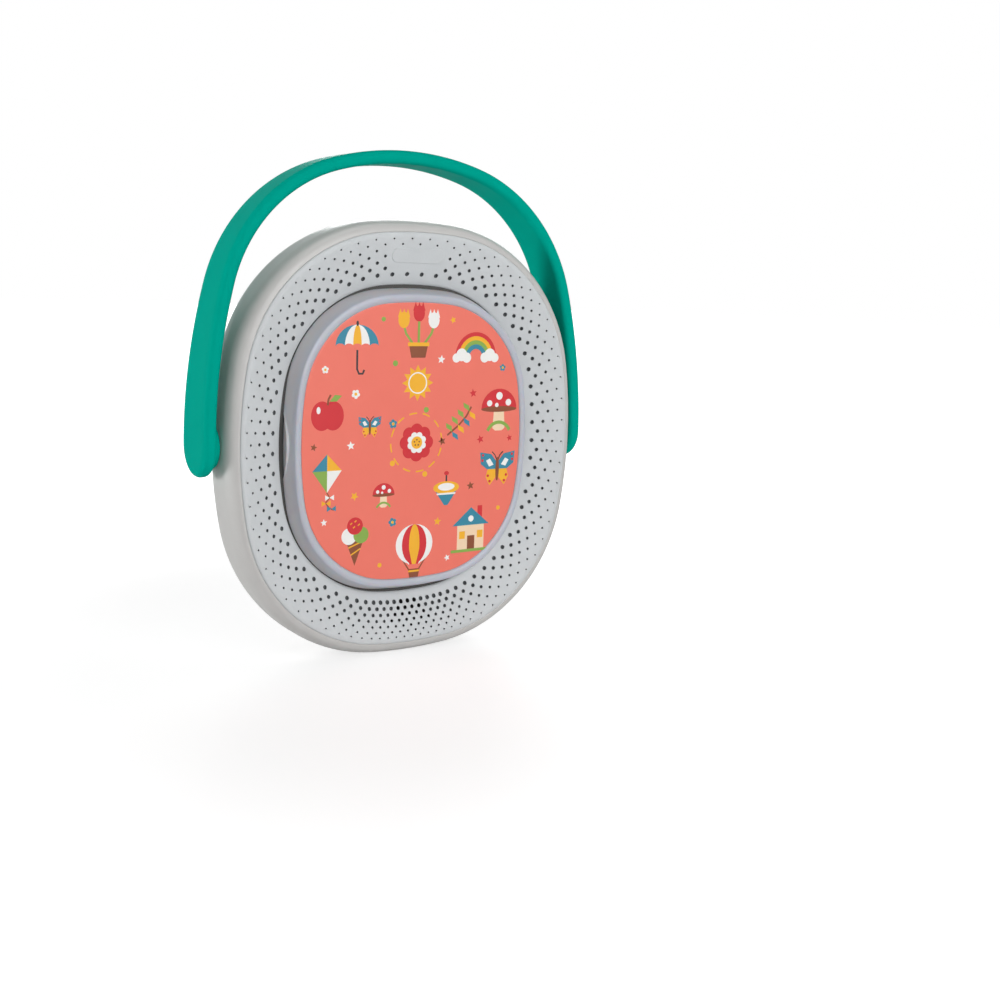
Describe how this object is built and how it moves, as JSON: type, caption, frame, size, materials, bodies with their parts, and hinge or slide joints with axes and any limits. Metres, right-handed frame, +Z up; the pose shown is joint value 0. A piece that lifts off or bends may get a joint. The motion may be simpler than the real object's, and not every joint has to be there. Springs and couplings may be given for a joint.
{
  "type": "audio story player",
  "caption": "Children's audio story player: a rounded speaker housing on its edge with a dished perforated front, a lift-off story disc over push keys and a swinging carrying handle.",
  "frame": {"origin": "centre of the bounding box's bottom, on the surface that the housing stands on", "axes": "+Z up, +X to the right seen from the front, +Y to the back, away from the disc"},
  "size_m": [0.198, 0.037, 0.2288],
  "materials": {
    "cover": "fine spark-eroded texture, moulded ABS",
    "shell": "satin moulded ABS, warm grey",
    "disc": "frosted translucent polycarbonate",
    "label": "printed film, coral",
    "handle": "semi-gloss moulded polypropylene, teal",
    "deck": "plain moulded ABS, mid grey",
    "key": "moulded silicone-topped key, light grey",
    "slider": "moulded nylon, dark grey",
    "board": "green solder mask on glass epoxy",
    "chip": "black moulded epoxy",
    "magnet": "nickel-plated magnet",
    "steel": "zinc-plated steel",
    "cell": "plain printed sleeve",
    "paper": "black pressed paper",
    "foam": "closed-cell foam",
    "bush": "acetal, natural"
  },
  "bodies": {
    "housing": {"front_cover": "cover", "rear_housing": "shell", "seat_magnets": "magnet", "key_deck": "deck", "main_board": "board", "key_switches": "chip", "board_chips": "chip", "disc_sensor": "chip", "board_screws": "steel", "case_screws": "steel", "speaker_gasket": "foam", "speaker_frame": "steel", "speaker_magnet": "magnet", "speaker_cone": "paper", "speaker_bracket": "steel", "speaker_screws": "steel", "battery_tray": "deck", "cell_1": "cell", "cell_2": "cell", "cell_3": "cell", "contact_springs": "steel", "contact_plates": "steel", "power_switch": "chip", "switch_board": "board", "hub_bush_left": "bush", "hub_bush_right": "bush"},
    "disc": {"story_disc": "disc", "disc_label": "label", "disc_magnets": "magnet"},
    "carry_handle": {"handle": "handle", "hub_washer_left": "steel", "hub_washer_right": "steel", "hub_screws": "steel"},
    "door": {"battery_door": "shell", "door_screw": "steel"},
    "slider": {"power_slider": "slider"},
    "push_key_00": {"key_00": "key"},
    "push_key_01": {"key_01": "key"},
    "push_key_02": {"key_02": "key"},
    "push_key_03": {"key_03": "key"},
    "push_key_04": {"key_04": "key"},
    "push_key_05": {"key_05": "key"},
    "push_key_06": {"key_06": "key"},
    "push_key_07": {"key_07": "key"},
    "push_key_08": {"key_08": "key"},
    "push_key_09": {"key_09": "key"},
    "push_key_10": {"key_10": "key"},
    "push_key_11": {"key_11": "key"},
    "push_key_12": {"key_12": "key"}
  },
  "joints": [
    {"name": "handle_swing", "type": "hinge", "parent": "housing", "child": "carry_handle", "pos_m": [0, 0.001, 0.09948], "axis": [1, 0, 0], "range_deg": [-110, 110]},
    {"name": "disc_lift", "type": "slide", "parent": "housing", "child": "disc", "axis": [0, -1, 0], "range_m": [0, 0.03]},
    {"name": "door_lift", "type": "slide", "parent": "housing", "child": "door", "axis": [0, 1, 0], "range_m": [0, 0.012]},
    {"name": "power_slide", "type": "slide", "parent": "housing", "child": "slider", "axis": [1, 0, 0], "range_m": [0, 0.006]},
    {"name": "key_00_press", "type": "slide", "parent": "housing", "child": "push_key_00", "axis": [0, 1, 0], "range_m": [0, 0.0008], "stiffness_N_per_m": 1000, "springref_m": -0.0005},
    {"name": "key_01_press", "type": "slide", "parent": "housing", "child": "push_key_01", "axis": [0, 1, 0], "range_m": [0, 0.0008], "stiffness_N_per_m": 1000, "springref_m": -0.0005},
    {"name": "key_02_press", "type": "slide", "parent": "housing", "child": "push_key_02", "axis": [0, 1, 0], "range_m": [0, 0.0008], "stiffness_N_per_m": 1000, "springref_m": -0.0005},
    {"name": "key_03_press", "type": "slide", "parent": "housing", "child": "push_key_03", "axis": [0, 1, 0], "range_m": [0, 0.0008], "stiffness_N_per_m": 1000, "springref_m": -0.0005},
    {"name": "key_04_press", "type": "slide", "parent": "housing", "child": "push_key_04", "axis": [0, 1, 0], "range_m": [0, 0.0008], "stiffness_N_per_m": 1000, "springref_m": -0.0005},
    {"name": "key_05_press", "type": "slide", "parent": "housing", "child": "push_key_05", "axis": [0, 1, 0], "range_m": [0, 0.0008], "stiffness_N_per_m": 1000, "springref_m": -0.0005},
    {"name": "key_06_press", "type": "slide", "parent": "housing", "child": "push_key_06", "axis": [0, 1, 0], "range_m": [0, 0.0008], "stiffness_N_per_m": 1000, "springref_m": -0.0005},
    {"name": "key_07_press", "type": "slide", "parent": "housing", "child": "push_key_07", "axis": [0, 1, 0], "range_m": [0, 0.0008], "stiffness_N_per_m": 1000, "springref_m": -0.0005},
    {"name": "key_08_press", "type": "slide", "parent": "housing", "child": "push_key_08", "axis": [0, 1, 0], "range_m": [0, 0.0008], "stiffness_N_per_m": 1000, "springref_m": -0.0005},
    {"name": "key_09_press", "type": "slide", "parent": "housing", "child": "push_key_09", "axis": [0, 1, 0], "range_m": [0, 0.0008], "stiffness_N_per_m": 1000, "springref_m": -0.0005},
    {"name": "key_10_press", "type": "slide", "parent": "housing", "child": "push_key_10", "axis": [0, 1, 0], "range_m": [0, 0.0008], "stiffness_N_per_m": 1000, "springref_m": -0.0005},
    {"name": "key_11_press", "type": "slide", "parent": "housing", "child": "push_key_11", "axis": [0, 1, 0], "range_m": [0, 0.0008], "stiffness_N_per_m": 1000, "springref_m": -0.0005},
    {"name": "key_12_press", "type": "slide", "parent": "housing", "child": "push_key_12", "axis": [0, 1, 0], "range_m": [0, 0.0008], "stiffness_N_per_m": 1000, "springref_m": -0.0005}
  ]
}
